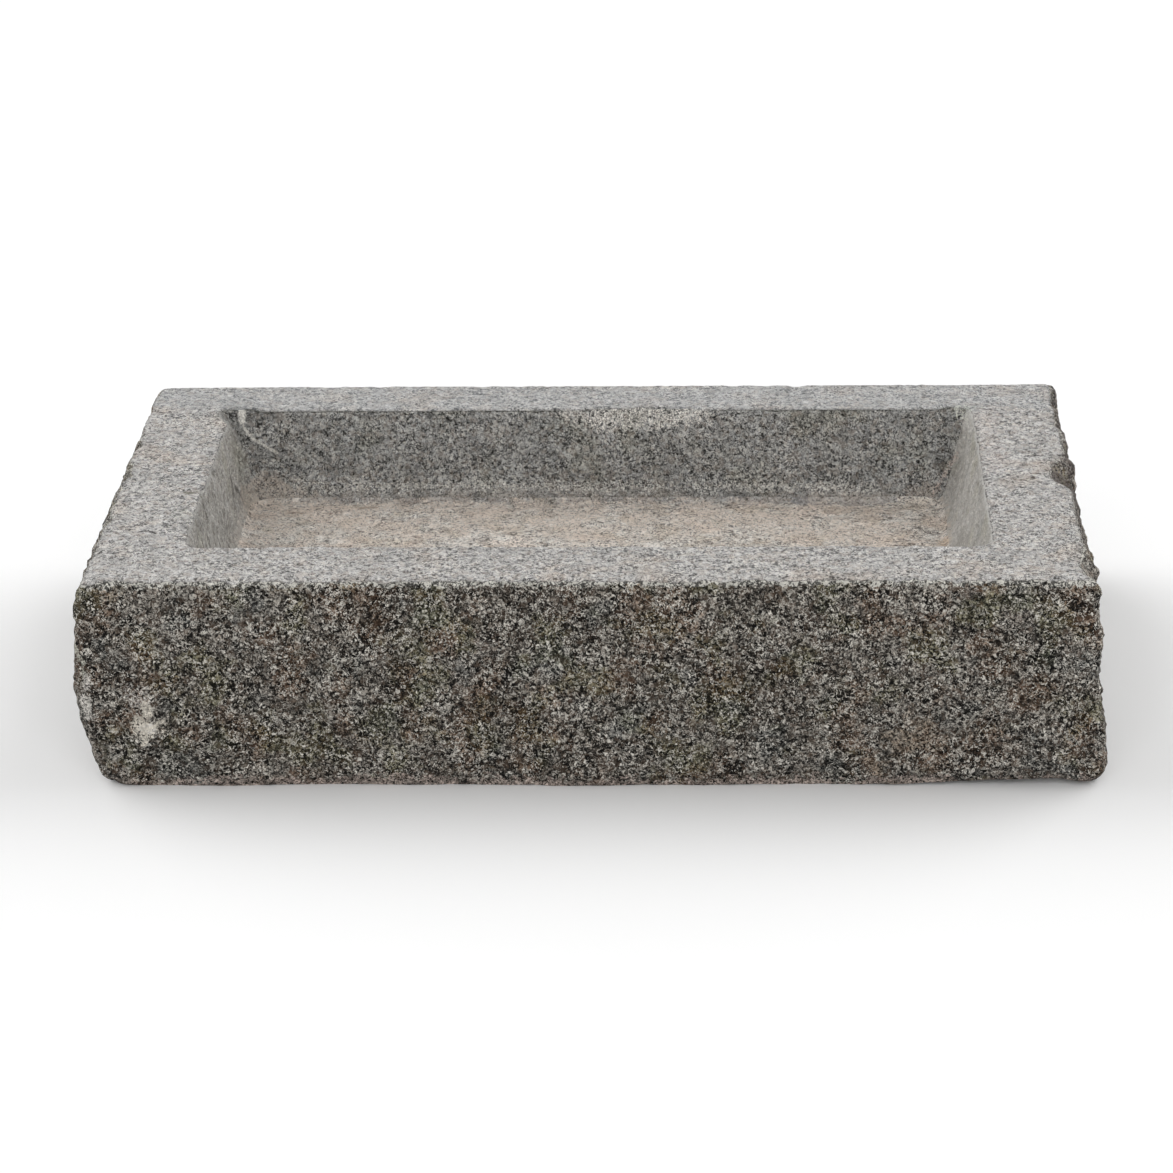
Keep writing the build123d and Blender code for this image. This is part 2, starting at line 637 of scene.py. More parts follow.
    def _round_corners(self, stone: bpy.types.Object) -> None:
        """Round the block's upright corners and the basin's."""
        places = read_places(stone)
        wet = self._within_mouth(places) & (places[:, 2] < self.height - SLACK)
        share = np.where(wet, (self.height - places[:, 2]) / self.basin_depth, 0.0)
        radius = self.mouth_corner + (self.floor_corner - self.mouth_corner) * share
        middle, half = self._basin_at(share)
        for signs in (np.array((x, y)) for x in (-1.0, 1.0) for y in (-1.0, 1.0)):
            outer = signs * (self.block.half - self.upright_corner)
            self._turn_square(places, ~wet, signs, outer, self.upright_corner, 0.0)
            centre = middle + signs * (half - radius[:, None])
            above = places[:, 2] > self.height - self.basin_depth - MM
            basin = self._within_mouth(places) | (places[:, 2] > self.height - SLACK)
            self._turn_square(places, above & basin, signs, centre, radius, self.mouth_corner)
        write_places(stone, places)

    @staticmethod
    def _turn_square(
        places: np.ndarray,
        on: np.ndarray,
        signs: np.ndarray,
        centre: np.ndarray,
        radius: np.ndarray | float,
        fade: float,
    ) -> None:
        """Turn one square corner of the grid into a round one, in place.

        Args:
            places: all vertex places.
            on: which of them may move.
            signs: which of the four corners it is.
            centre: the middle of the round corner, for each vertex or for all.
            radius: its radius, for each vertex or for all.
            fade: how far beyond the radius the grid goes back to square.
        """
        local = (places[:, :2] - centre) * signs
        reach = local.max(1)
        distance = np.linalg.norm(local, axis=1)
        inner = on & (local.min(1) > 0) & (distance > 0)
        factor = np.divide(reach, distance, out=np.ones(len(reach)), where=distance > 0)
        if fade:
            back = eased(reach - radius, 0.0, fade)
            factor = factor * (1.0 - back) + back
        else:
            inner &= reach <= radius + MM
        places[inner, :2] = (centre + signs * local * factor[:, None])[inner]

    def _survey(self, stone: bpy.types.Object) -> None:
        """Note where each vertex lies on the whole block, before anything is broken off it."""
        places = read_places(stone)
        self._drop = self.height - places[:, 2]
        self._wet = self._within_mouth(places)
        self._top = self._drop < SLACK
        self._outer, self._mouth = (edge.outline.measure(places) for edge in self.edges)
        self._to_edge = np.minimum(
            np.where(self._wet, 1.0, np.maximum(self._outer[2], 0.0)),
            np.maximum(-self._mouth[2], 0.0),
        )
        side = ~self._wet & (self._drop > SLACK)
        self._to_edge[side] = 0.0
        hidden = side & (self._outer[1][:, 1] > -0.5)
        self._to_edge += self._drop * np.where(hidden, 2.5, 1.0)

    def _lay_on_frame(self, stone: bpy.types.Object) -> None:
        """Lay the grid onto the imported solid: its split faces outside, its hollow inside."""
        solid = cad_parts[NODE].data
        tree = BVHTree.FromPolygons(
            [vertex.co.copy() for vertex in solid.vertices],
            [tuple(face.vertices) for face in solid.polygons],
        )
        places = read_places(stone)
        foot, way, inside = self._outer
        shift = np.zeros(len(places))
        reach = 2 * self.give
        edge_gap = 0.3 * MM
        spots = np.column_stack(
            (foot, np.clip(places[:, 2], edge_gap, self.height - edge_gap))
        )
        for number in np.flatnonzero(~self._wet & (inside < self.give)):
            out = Vector((*way[number], 0.0))
            start = Vector(spots[number]) + out * reach
            hit = tree.ray_cast(start, -out, 2 * reach)[0]
            if hit is not None:
                shift[number] = reach - (start - hit).length
        for swell in self.swells:
            distance = np.linalg.norm(spots - np.array(swell.place) * MM, axis=1)
            share = 1.0 - eased(distance, 0.0, swell.reach * MM)
            shift += swell.height * MM * share * (self._drop > MM)
        share = 1.0 - eased(inside, 0.0, self.give)
        places[:, :2] += way * (shift * share)[:, None]
        for number in np.flatnonzero(self._wet):
            hit = tree.find_nearest(Vector(places[number]))[0]
            if hit is not None:
                places[number] = hit
        write_places(stone, places)

    def _break_edges(self, stone: bpy.types.Object) -> None:
        """Crumble the two edges of the sawn top, and break the known pieces off them."""
        places = read_places(stone)
        chip = np.zeros(len(places))
        for edge, line in zip(self.edges, (self._outer, self._mouth), strict=True):
            near = np.abs(line[2]) < self.edge_reach
            near &= self._top | (self._wet if edge.outward else ~self._wet)
            near = np.flatnonzero(near & (self._drop < self.edge_reach))
            foot, way, gap = line[0][near], line[1][near], np.abs(line[2][near])
            drop = self._drop[near]
            spots = np.column_stack((foot, np.zeros(len(near))))
            bite, fall = edge.bites(spots)
            down = np.maximum(1.0 - drop / fall, 0.0)
            across = np.maximum(1.0 - gap / (3.0 * bite + 6.0 * MM), 0.0)
            move = bite * np.where(self._top[near], across, down)
            places[near, :2] += (way if edge.outward else -way) * move[:, None]
            chip[near] = np.maximum(chip[near], eased(move, 0.8 * MM, 2.5 * MM))
            dents = edge.dents * (1.0 - 0.85 * eased(foot[:, 1], -0.14, 0.10))
            knock = self.wear * (1.0 + dents * (1.0 + 2.5 * ripple(spots, 0.0030, 5.9)))
            knock += 7.0 * dents * self.wear * np.maximum(ripple(spots, 0.007, 2.6) - 0.2, 0.0)
            reach = 3.0 * np.maximum(knock, self.wear)
            places[near, 2] -= knock * np.maximum(1.0 - (gap + drop) / reach, 0.0)
        write_places(stone, places)
        store(stone, "chip", chip)
        store(stone, "edge", np.minimum(self._to_edge, self.edge_reach) / MM)
        # flank is 1 on the right end wall, 0.74 on the left and 0 on the front and back walls;
        # it sets the end walls' tooling and their painted light, strongest on the right.
        across = self._mouth[1][:, 0]
        store(stone, "flank", np.maximum(across, -0.74 * across) * self._wet)

    def _lift_foot(self, stone: bpy.types.Object) -> None:
        """Draw up the foot of the front face, most where it nears its right end."""
        places = read_places(stone)
        x, y, z = places.T
        spots = places * np.array((1.0, 0.0, 0.0))
        lift = self.foot_lift * eased(x, 0.130, 0.240) * (1.0 - 0.5 * eased(x, 0.235, 0.256))
        lift += self.foot_waves * np.maximum(ripple(spots, 0.022, 4.4), 0.0)
        places[:, 2] += lift * eased(y, -0.115, -0.145) * eased(z, 0.034, 0.0)
        write_places(stone, places)

    def _round_foot(self, stone: bpy.types.Object) -> None:
        """Round the hollow corner between the basin's walls and its floor."""
        places = read_places(stone)
        foot, way, inside = self.foot.measure(places)
        rise = np.maximum(self.basin_depth - self._drop, 0.0)
        away = np.maximum(inside, 0.0) * (rise < MM) + rise
        near = np.maximum(1.0 - away / self.hollow_reach, 0.0) * self._wet
        spots = np.column_stack((foot, np.zeros(len(foot))))
        depth = self.hollow_corner * (1.0 + 0.4 * ripple(spots, 0.026, 8.1)) * near**2
        places[:, :2] -= way * depth[:, None]
        places[:, 2] += depth * np.where(rise < MM, 1.0, near)
        write_places(stone, places)

    def _roughen(self, stone: bpy.types.Object) -> None:
        """Roughen each zone with its own layers of noise, and keep the relief for the finish."""
        before = read_places(stone)
        normals = read(stone.data.vertex_normals, "vector")
        self._weigh_zones(stone)
        bpy.ops.object.select_all(action="DESELECT")
        stone.select_set(True)
        bpy.context.view_layer.objects.active = stone
        for layer in self.roughnesses:
            texture = bpy.data.textures.new(layer.name, "CLOUDS")
            texture.noise_basis = layer.grain.value
            texture.noise_scale = layer.size * MM
            texture.noise_depth = layer.depth
            displace = stone.modifiers.new(layer.name, "DISPLACE")
            displace.texture = texture
            displace.texture_coords = "LOCAL"
            displace.direction = "NORMAL"
            displace.strength = layer.height * MM
            displace.mid_level = 0.5
            displace.vertex_group = layer.zone
            bpy.ops.object.modifier_apply(modifier=displace.name)
        stone.vertex_groups.clear()
        places = read_places(stone)
        bed = self._drop > self.height - SLACK
        places[bed, 2] = before[bed, 2]
        places[:, 2] = np.maximum(places[:, 2], 0.0)
        write_places(stone, places)
        # The relief is kept for the painted shade in the hollows of the finish.
        store(stone, "relief", np.einsum("ij,ij->i", places - before, normals) / MM)
        bpy.ops.object.shade_smooth_by_angle(angle=self.smooth_angle)

    def _weigh_zones(self, stone: bpy.types.Object) -> None:
        """Make a vertex group for each zone, weaker where two zones meet."""
        drop, wet, top = self._drop, self._wet, self._top
        side = ~wet & ~top
        foot = 0.4 + 0.6 * eased(read_places(stone)[:, 2], 0.0, 0.004)
        floor = wet & (drop > self.basin_depth - MM)
        wall = wet & ~floor & ~top
        weights = {
            "split_large": side * (0.2 + 0.8 * eased(drop, 0.0, 0.030)) * foot,
            "split": side * (0.35 + 0.65 * eased(drop, 0.0, 0.006)) * foot,
            "sawn": top * eased(self._to_edge, 0.0, 1.5 * MM),
            "wall": wall * (0.4 + 0.6 * eased(drop, 0.0, 0.005)),
            "floor": floor * 1.0,
        }
        steps = 10
        for name, values in weights.items():
            group = stone.vertex_groups.new(name=name)
            levels = np.rint(values * steps).astype(int)
            for level in range(1, steps + 1):
                chosen = np.flatnonzero(levels == level).tolist()
                if chosen:
                    group.add(chosen, level / steps, "REPLACE")


# The finish


@dataclass(frozen=True)
class Signal:
    """An output of a node. A sum or product of signals becomes a Math node."""

    bench: NodeBench
    socket: bpy.types.NodeSocket

    def __add__(self, other: Value) -> Signal:
        """Return the sum."""
        return self.bench.math("ADD", self, other)

    def __sub__(self, other: Value) -> Signal:
        """Return the difference."""
        return self.bench.math("SUBTRACT", self, other)

    def __mul__(self, other: Value) -> Signal:
        """Return the product."""
        return self.bench.math("MULTIPLY", self, other)


Value = Signal | Colour | float
Feeds = dict[str | int, Value]


class NodeBench:
    """A node tree being laid out, with short ways to add nodes and to link them."""

    def __init__(self, tree: bpy.types.NodeTree) -> None:
        """Take the tree to work on, and empty it."""
        self.tree = tree
        tree.nodes.clear()

    def feed(self, socket: bpy.types.NodeSocket, value: Value) -> None:
        """Link a socket to a signal, or set it to a plain value."""
        if isinstance(value, Signal):
            self.tree.links.new(value.socket, socket)
        elif isinstance(value, tuple) and socket.type == "RGBA":
            socket.default_value = (*value, 1.0)
        else:
            socket.default_value = value

    def node(self, kind: str, feeds: Feeds | None = None, **settings: object) -> bpy.types.Node:
        """Add a node, set its properties by name, and feed its inputs."""
        node = self.tree.nodes.new(kind)
        for name, value in settings.items():
            setattr(node, name, value)
        for name, value in (feeds or {}).items():
            self.feed(node.inputs[name], value)
        return node

    def outputs(
        self, kind: str, feeds: Feeds | None = None, **settings: object
    ) -> dict[str, Signal]:
        """Add a node, and return all its outputs by name."""
        node = self.node(kind, feeds, **settings)
        return {socket.name: Signal(self, socket) for socket in node.outputs}

    def get(
        self, kind: str, output: str | int, feeds: Feeds | None = None, **settings: object
    ) -> Signal:
        """Add a node, and return one of its outputs."""
        return Signal(self, self.node(kind, feeds, **settings).outputs[output])

    def math(self, operation: str, first: Value, second: Value) -> Signal:
        """Return what a Math node makes of two numbers."""
        return self.get("ShaderNodeMath", 0, {0: first, 1: second}, operation=operation)

    def vector(self, operation: str, first: Value, second: Value) -> Signal:
        """Return what a Vector Math node makes of two vectors: a vector or a number."""
        output = "Value" if operation in ("DOT_PRODUCT", "DISTANCE") else "Vector"
        feeds = {0: first, 1: second}
        return self.get("ShaderNodeVectorMath", output, feeds, operation=operation)

    def scaled(self, vector: Signal, factor: Value) -> Signal:
        """Return a vector times a number."""
        feeds = {0: vector, "Scale": factor}
        return self.get("ShaderNodeVectorMath", 0, feeds, operation="SCALE")

    def ease(self, value: Signal, low: float, high: float) -> Signal:
        """Return a smooth rise from 0 at low to 1 at high, which may be lower than low."""
        feeds = {"Value": value, "From Min": low, "From Max": high}
        return self.get("ShaderNodeMapRange", "Result", feeds, interpolation_type="SMOOTHSTEP")

    def mix(self, share: Value, first: Value, second: Value, blend: str = "MIX") -> Signal:
        """Return the second colour laid over the first by a share."""
        feeds = {0: share, 6: first, 7: second}
        return self.get("ShaderNodeMix", 2, feeds, data_type="RGBA", blend_type=blend)

    def place(self) -> Signal:
        """Return the place on the stone, in its own coordinates."""
        return self.get("ShaderNodeTexCoord", "Object")

    def attribute(self, name: str) -> Signal:
        """Return a number that the mesh keeps for each vertex."""
        return self.get("ShaderNodeAttribute", "Fac", attribute_name=name)

    def noise(
        self, vector: Signal, scale: Value, detail: float = 2.0, output: str = "Fac"
    ) -> Signal:
        """Return noise from 0 to 1, as a number or as a colour."""
        feeds = {"Vector": vector, "Scale": scale, "Detail": detail}
        return self.get("ShaderNodeTexNoise", output, feeds)

    def clouds(self, size: float, seed: float = 0.0, detail: float = 2.0) -> Signal:
        """Return soft noise from 0 to 1, with features of about a size in metres."""
        moved = self.vector("ADD", self.place(), (seed, seed, seed))
        return self.noise(moved, 1.0 / size, detail)


def start_group(
    name: str, inputs: dict[str, str], outputs: tuple[str, ...]
) -> tuple[NodeBench, dict[str, Signal]]:
    """Start a shader node group.

    Args:
        name: the group's name.
        inputs: the kind of each input, Float or Vector, by its name.
        outputs: the names of the outputs, which are all numbers.

    Returns:
        The bench for its nodes, and its inputs by name.
    """
    tree = bpy.data.node_groups.new(name, "ShaderNodeTree")
    for title, kind in inputs.items():
        tree.interface.new_socket(title, in_out="INPUT", socket_type=f"NodeSocket{kind}")
    for title in outputs:
        tree.interface.new_socket(title, in_out="OUTPUT", socket_type="NodeSocketFloat")
    bench = NodeBench(tree)
    return bench, bench.outputs("NodeGroupInput")


def start_material(name: str) -> tuple[bpy.types.Material, NodeBench]:
    """Return a new material, and the bench for its nodes."""
    material = bpy.data.materials.new(name)
    material.use_nodes = True
    return material, NodeBench(material.node_tree)


def finish_material(bench: NodeBench, feeds: Feeds) -> None:
    """End a material with a Principled surface."""
    shader = bench.get("ShaderNodeBsdfPrincipled", "BSDF", feeds)
    bench.node("ShaderNodeOutputMaterial", {"Surface": shader})


def crystal_group() -> bpy.types.NodeTree:
    """Return the group that divides the stone into crystals.

    Returns:
        A group with a Size input in metres. Shade and Hue are numbers from 0 to 1, even over
        each crystal, Needle is noise that is drawn out along it, and Tilt is the height of its
        face in metres, broken at its own slope.
    """
    names = ("Shade", "Hue", "Needle", "Tilt")
    bench, given = start_group("crystals", {"Size": "Float"}, names)
    middle = (0.5, 0.5, 0.5)
    scale = bench.math("DIVIDE", 1.0, given["Size"])
    wander = bench.noise(bench.place(), scale, output="Color")
    push = bench.scaled(bench.vector("SUBTRACT", wander, middle), given["Size"] * 2.2)
    warped = bench.vector("ADD", bench.place(), push)
    cells = bench.outputs("ShaderNodeTexVoronoi", {"Vector": warped, "Scale": scale})
    parts = bench.outputs("ShaderNodeSeparateColor", {0: cells["Color"]})
    offset = bench.vector("SUBTRACT", warped, cells["Position"])
    slope = bench.vector("SUBTRACT", cells["Color"], middle)
    way = bench.vector("NORMALIZE", slope, slope)
    drawn = bench.scaled(way, bench.vector("DOT_PRODUCT", offset, way) * -0.8)
    needle = bench.noise(bench.vector("ADD", warped, drawn), scale * 2.1, 1.0)
    tilt = bench.vector("DOT_PRODUCT", offset, slope) * 2.0
    values = (parts["Red"], parts["Green"], needle, tilt)
    bench.node("NodeGroupOutput", dict(zip(names, values, strict=True)))
    return bench.tree


def mark_group() -> bpy.types.NodeTree:
    """Return the group that makes a spot or stroke.

    Returns:
        A group with Start, End and Reach inputs in metres, Weight for how much each axis
        counts, and Ragged for how torn its outline is. Mask is 1 on the line between the two
        ends, and 0 beyond the reach. A spot has both ends at one place.
    """
    kinds = {"Start": "Vector", "End": "Vector", "Weight": "Vector"}
    bench, given = start_group("mark", kinds | {"Reach": "Float", "Ragged": "Float"}, ("Mask",))
    span, local = (
        bench.vector("MULTIPLY", bench.vector("SUBTRACT", far, given["Start"]), given["Weight"])
        for far in (given["End"], bench.place())
    )
    dots = (bench.vector("DOT_PRODUCT", other, span) for other in (local, span))
    held = bench.get("ShaderNodeClamp", 0, {"Value": bench.math("DIVIDE", *dots)})
    distance = bench.vector("DISTANCE", local, bench.scaled(span, held))
    share = bench.math("DIVIDE", distance, given["Reach"])
    for waves in (1.8, 0.4):
        torn = bench.noise(bench.place(), bench.math("DIVIDE", waves, given["Reach"]))
        share = share + (torn - 0.5) * (given["Ragged"] * 2.4)
    bench.node("NodeGroupOutput", {"Mask": bench.ease(share, 1.0, 0.5)})
    return bench.tree


class Face(Enum):
    """What a mark lies on: how much each axis counts for its distance."""

    FRONT = (1.0, 0.2, 1.0)
    TOP = (1.0, 1.0, 0.2)
    END = (0.2, 1.0, 1.0)


class Lay(Enum):
    """How a mark's colour goes onto the stone's own."""

    OVER = "MIX"
    INTO = "MULTIPLY"


@dataclass(frozen=True)
class Mark:
    """One stain, scratch or crack with a place of its own."""

    face: Face
    start: Place
    reach: float
    colour: Colour
    strength: float
    end: Place | None = None
    ragged: float = 1.0
    lay: Lay = Lay.OVER

    def draw(
        self, bench: NodeBench, tree: bpy.types.NodeTree, needle: Signal, under: Signal
    ) -> Signal:
        """Lay the mark onto a colour.

        Args:
            bench: where the material's nodes go.
            tree: the group that makes a spot or stroke.
            needle: the crystals' own noise, which breaks the mark up into grains.
            under: the colour below.

        Returns:
            The colour with the mark.
        """
        feeds = {"Weight": self.face.value, "Reach": MM * self.reach, "Ragged": self.ragged}
        for name, place in (("Start", self.start), ("End", self.end or self.start)):
            feeds[name] = tuple(MM * value for value in place)
        mask = bench.get("ShaderNodeGroup", "Mask", feeds, node_tree=tree)
        low = 0.12 + 0.3 * self.ragged
        share = mask * self.strength * bench.ease(needle, low, low + 0.16)
        return bench.mix(share, under, self.colour, self.lay.value)


@dataclass(frozen=True)
class Tint:
    """A faint change of colour, in soft patches all over a finish."""

    colour: Colour
    size: float
    strength: float
    seed: float
    start: float = 0.52


@dataclass(frozen=True)
class Minerals:
    """Four minerals from dark to light: how they share the noise out, and their one tone."""

    places: tuple[float, float, float, float]
    levels: tuple[float, float, float, float]
    tone: Colour

    def colours(self) -> Iterator[tuple[float, Colour]]:
        """Give each mineral's place and colour."""
        for place, level in zip(self.places, self.levels, strict=True):
            yield place, tuple(round(level * part, 3) for part in self.tone)


@dataclass(frozen=True)
class HollowShade:
    """Painted shade: how the low places of the relief are darkened, as if shade fell in them.
    The depth is in millimetres.
    """

    colour: Colour
    depth: float
    strength: float


@dataclass(frozen=True)
class Crumbs:
    """The crumbled stone along an edge. The width is in millimetres."""

    colour: Colour
    width: float
    strength: float


@dataclass(frozen=True)
class Tooling:
    """The end walls: the chisel's grooves, painted light that makes them lighter, the chisel's
    dark strokes and a silted seam.
    """

    groove: float
    end_wall_light: float
    strokes: float
    seam: float


@dataclass(frozen=True)
class Ground:
    """The patterns that all layers of a finish share."""

    coarse: dict[str, Signal]
    fine: dict[str, Signal]
    pits: Signal
    swing: Signal
    flank: Signal | None
    cut: Signal | None


@dataclass(frozen=True)
class GraniteFinish:
    """How one zone of the stone looks."""

    name: str
    minerals: Minerals
    warm: Colour
    crystal_size: float
    tilt: float
    cluster: float
    pits: float
    glints: float
    roughness: float
    hollow: HollowShade
    crumbs: Crumbs | None = None
    tooling: Tooling | None = None
    silt: Colour | None = None
    tints: tuple[Tint, ...] = ()
    marks: tuple[Mark, ...] = ()

    def material(
        self, crystals: bpy.types.NodeTree, mark: bpy.types.NodeTree
    ) -> bpy.types.Material:
        """Build this finish as a material.

        Args:
            crystals: the group that divides the stone into crystals.
            mark: the group that makes a ragged spot or stroke.

        Returns:
            The material, ready for the zone's slot.
        """
        material, bench = start_material(self.name)
        ground = self._ground(bench, crystals)
        colour = self._weather(bench, ground, self._mineral(bench, ground))
        for spot in self.marks:
            colour = spot.draw(bench, mark, ground.fine["Needle"], colour)
        feeds = {"Distance": 1.0, "Height": self._height(ground)}
        finish_material(
            bench,
            {
                "Base Color": colour,
                "Roughness": self.roughness,
                "Specular IOR Level": 0.15,
                "Normal": bench.get("ShaderNodeBump", "Normal", feeds),
            },
        )
        return material

    def _ground(self, bench: NodeBench, crystals: bpy.types.NodeTree) -> Ground:
        """Lay out the crystals, the pits, the lively areas and the chisel's grooves."""
        coarse, fine = (
            bench.outputs("ShaderNodeGroup", {"Size": size}, node_tree=crystals)
            for size in (1.2 * self.crystal_size, 0.7 * self.crystal_size)
        )
        flank = cut = None
        if self.tooling:
            flank = bench.ease(bench.attribute("flank"), 0.55, 0.85)
            drawn_out = bench.vector("MULTIPLY", bench.place(), (1.0, 1.0, 0.20))
            cut = bench.noise(drawn_out, 1.0 / (1.3 * self.crystal_size))
        swing = bench.ease(bench.clouds(0.013, 3.3), 0.36, 0.62) * 0.7 + 0.65
        return Ground(coarse, fine, bench.clouds(0.0024), swing, flank, cut)

    def _mineral(self, bench: NodeBench, ground: Ground) -> Signal:
        """Return the colour of the bare minerals, with the painted shade and dark grains in
        their pits, and the chisel's strokes.
        """
        share = (bench.clouds(2.6 * self.crystal_size, 6.6) - 0.5) * self.cluster
        for source, weight in (
            (ground.coarse["Shade"], 0.22),
            (ground.coarse["Needle"], 1.30),
            (ground.fine["Shade"], 0.38),
            (ground.fine["Needle"], 1.75),
        ):
            share = share + (source - 0.5) * weight
        share = share * ground.swing + 0.5
        if self.tooling:
            share = share + (ground.cut - 0.5) * ground.flank * self.tooling.groove
        ramp = bench.node("ShaderNodeValToRGB", {"Fac": share})
        elements = ramp.color_ramp.elements
        while len(elements) < len(self.minerals.places):
            elements.new(1.0)
        for element, (place, colour) in zip(elements, self.minerals.colours(), strict=True):
            element.position = place
            element.color = (*colour, 1.0)
        warm = bench.ease(ground.coarse["Hue"], 0.74, 0.82) * 0.45
        colour = bench.mix(warm, Signal(bench, ramp.outputs["Color"]), self.warm)
        # Painted shade with dark grains: the pits darken where the pit noise, which also lowers
        # the bump's height, is low, and where the crystals' needles are dark.
        pit_shade = bench.ease(ground.pits + ground.coarse["Needle"] * 0.7, 0.73, 0.65)
        colour = bench.mix(pit_shade * self.pits, colour, PIT_SHADE, "MULTIPLY")
        if not self.tooling:
            return colour
        # Painted light: the end walls, which the side lamps light, are made lighter than the
        # front and back walls, the right one most.
        colour = bench.mix(ground.flank * self.tooling.end_wall_light, colour, LIT_END_WALL)
        flank = bench.attribute("flank")
        left = bench.ease(flank, 0.55, 0.70) - bench.ease(flank, 0.80, 0.95)
        stroke = bench.ease(ground.cut, 0.45, 0.36) * left * self.tooling.strokes
        return bench.mix(stroke, colour, STROKE, "MULTIPLY")

    def _weather(self, bench: NodeBench, ground: Ground, colour: Signal) -> Signal:
        """Return the colour with its tints, painted shade in the hollows, glints, crumbled edges
        and silt.
        """
        for tint in self.tints:
            cloud = bench.clouds(tint.size, tint.seed, 3.0)
            patch = bench.ease(cloud, tint.start, tint.start + 0.14) * tint.strength
            colour = bench.mix(patch, colour, tint.colour, "MULTIPLY")
        # Painted shade: the low places of the relief are darkened as if shade fell in them.
        low = bench.ease(bench.attribute("relief"), self.hollow.depth, -self.hollow.depth)
        colour = bench.mix(low * self.hollow.strength, colour, self.hollow.colour, "MULTIPLY")
        glint = ground.fine["Needle"] * 0.8 + ground.fine["Shade"] * 0.2
        glint = bench.ease(glint, 0.565, 0.61) * self.glints * ground.swing
        colour = bench.mix(glint, colour, GLINT)
        if self.crumbs:
            colour = self._crumble(bench, ground, self.crumbs, colour)
        if self.silt:
            colour = bench.mix(self._silt(bench, ground), colour, self.silt)
        return colour

    @staticmethod
    def _crumble(bench: NodeBench, ground: Ground, crumbs: Crumbs, colour: Signal) -> Signal:
        """Return the colour with crumbled stone along the edges, in light and dark grains."""
        torn = (bench.clouds(0.0030, 8.3) - 0.5) * (3.5 * crumbs.width)
        reach = bench.attribute("edge") + torn
        near = bench.ease(reach, 1.1 * crumbs.width, 0.7 * crumbs.width)
        near = bench.math("MAXIMUM", near, bench.attribute("chip") * 0.3) * crumbs.strength
        dark = tuple(0.14 * level for level in crumbs.colour)
        worn = bench.mix(bench.ease(ground.coarse["Needle"], 0.46, 0.53), dark, crumbs.colour)
        # On the end walls the crumbled edge turns a light grey near the sawn top's own: partly
        # wear, partly painted light on the rounded edge.
        if ground.flank:
            worn = bench.mix(ground.flank, worn, WORN_AND_LIT_EDGE)
        return bench.mix(near, colour, worn)

    def _silt(self, bench: NodeBench, ground: Ground) -> Signal:
        """Return how much silt lies at a place: most at the back, and low on the walls."""
        place = bench.outputs("ShaderNodeSeparateXYZ", {0: bench.place()})
        film = bench.clouds(0.050, 2.9, 4.0)
        low = bench.ease(place["Z"] - film * 0.020, 0.0605, 0.0525)
        back = bench.ease(place["Y"] + film * 0.16, 0.075, 0.150) + 0.25
        patchy = bench.ease(bench.clouds(0.012, 6.1), 0.30, 0.62) + 0.35
        grain = bench.ease(ground.fine["Needle"], 0.34, 0.62) * patchy * 0.62
        amount = low * back * grain
        if not self.tooling:
            return amount
        torn = bench.clouds(0.0055, 5.2, 3.0) * 0.011
        seam = bench.ease(place["Z"] + torn, 0.0715, 0.0680)
        seam = seam * (ground.fine["Needle"] * 0.8 + 0.6) * (ground.flank * self.tooling.seam)
        return bench.math("MAXIMUM", amount, seam)

    def _height(self, ground: Ground) -> Signal:
        """Return the height of the finest relief, in metres."""
        facets = ground.coarse["Tilt"] * self.tilt + ground.fine["Tilt"] * (1.6 * self.tilt)
        return facets + ground.pits * (self.tilt * 3.0 * MM)


# Colours

WHITE = (1.00, 0.95, 0.88)
CREAM = (1.00, 0.93, 0.81)
PALE = (0.86, 0.83, 0.77)
GLINT = (0.90, 0.86, 0.78)
CRUMB = (0.78, 0.78, 0.68)
LICHEN = (0.74, 0.76, 0.66)
LIT_END_WALL = (0.690, 0.662, 0.622)
SILT = (0.620, 0.545, 0.475)
WORN_AND_LIT_EDGE = (0.600, 0.585, 0.560)
SHADE = (0.68, 0.71, 0.75)
COOL = (0.405, 0.44, 0.470)
STROKE = (0.38, 0.37, 0.35)
STONE = (0.236, 0.221, 0.197)
UMBER = (0.173, 0.146, 0.138)
OLIVE = (0.17, 0.165, 0.12)
ROSE = (0.74, 0.61, 0.54)
CLAY = (0.68, 0.53, 0.40)
RUST = (0.58, 0.47, 0.36)
EARTH_AND_SHADOW = (0.42, 0.34, 0.27)
PIT_SHADE = (0.10, 0.09, 0.075)
DARK = (0.040, 0.038, 0.034)


def on(face: Face, *rows: tuple) -> tuple[Mark, ...]:
    """Return marks on one face, from rows of their other values."""
    return tuple(Mark(face, *row) for row in rows)


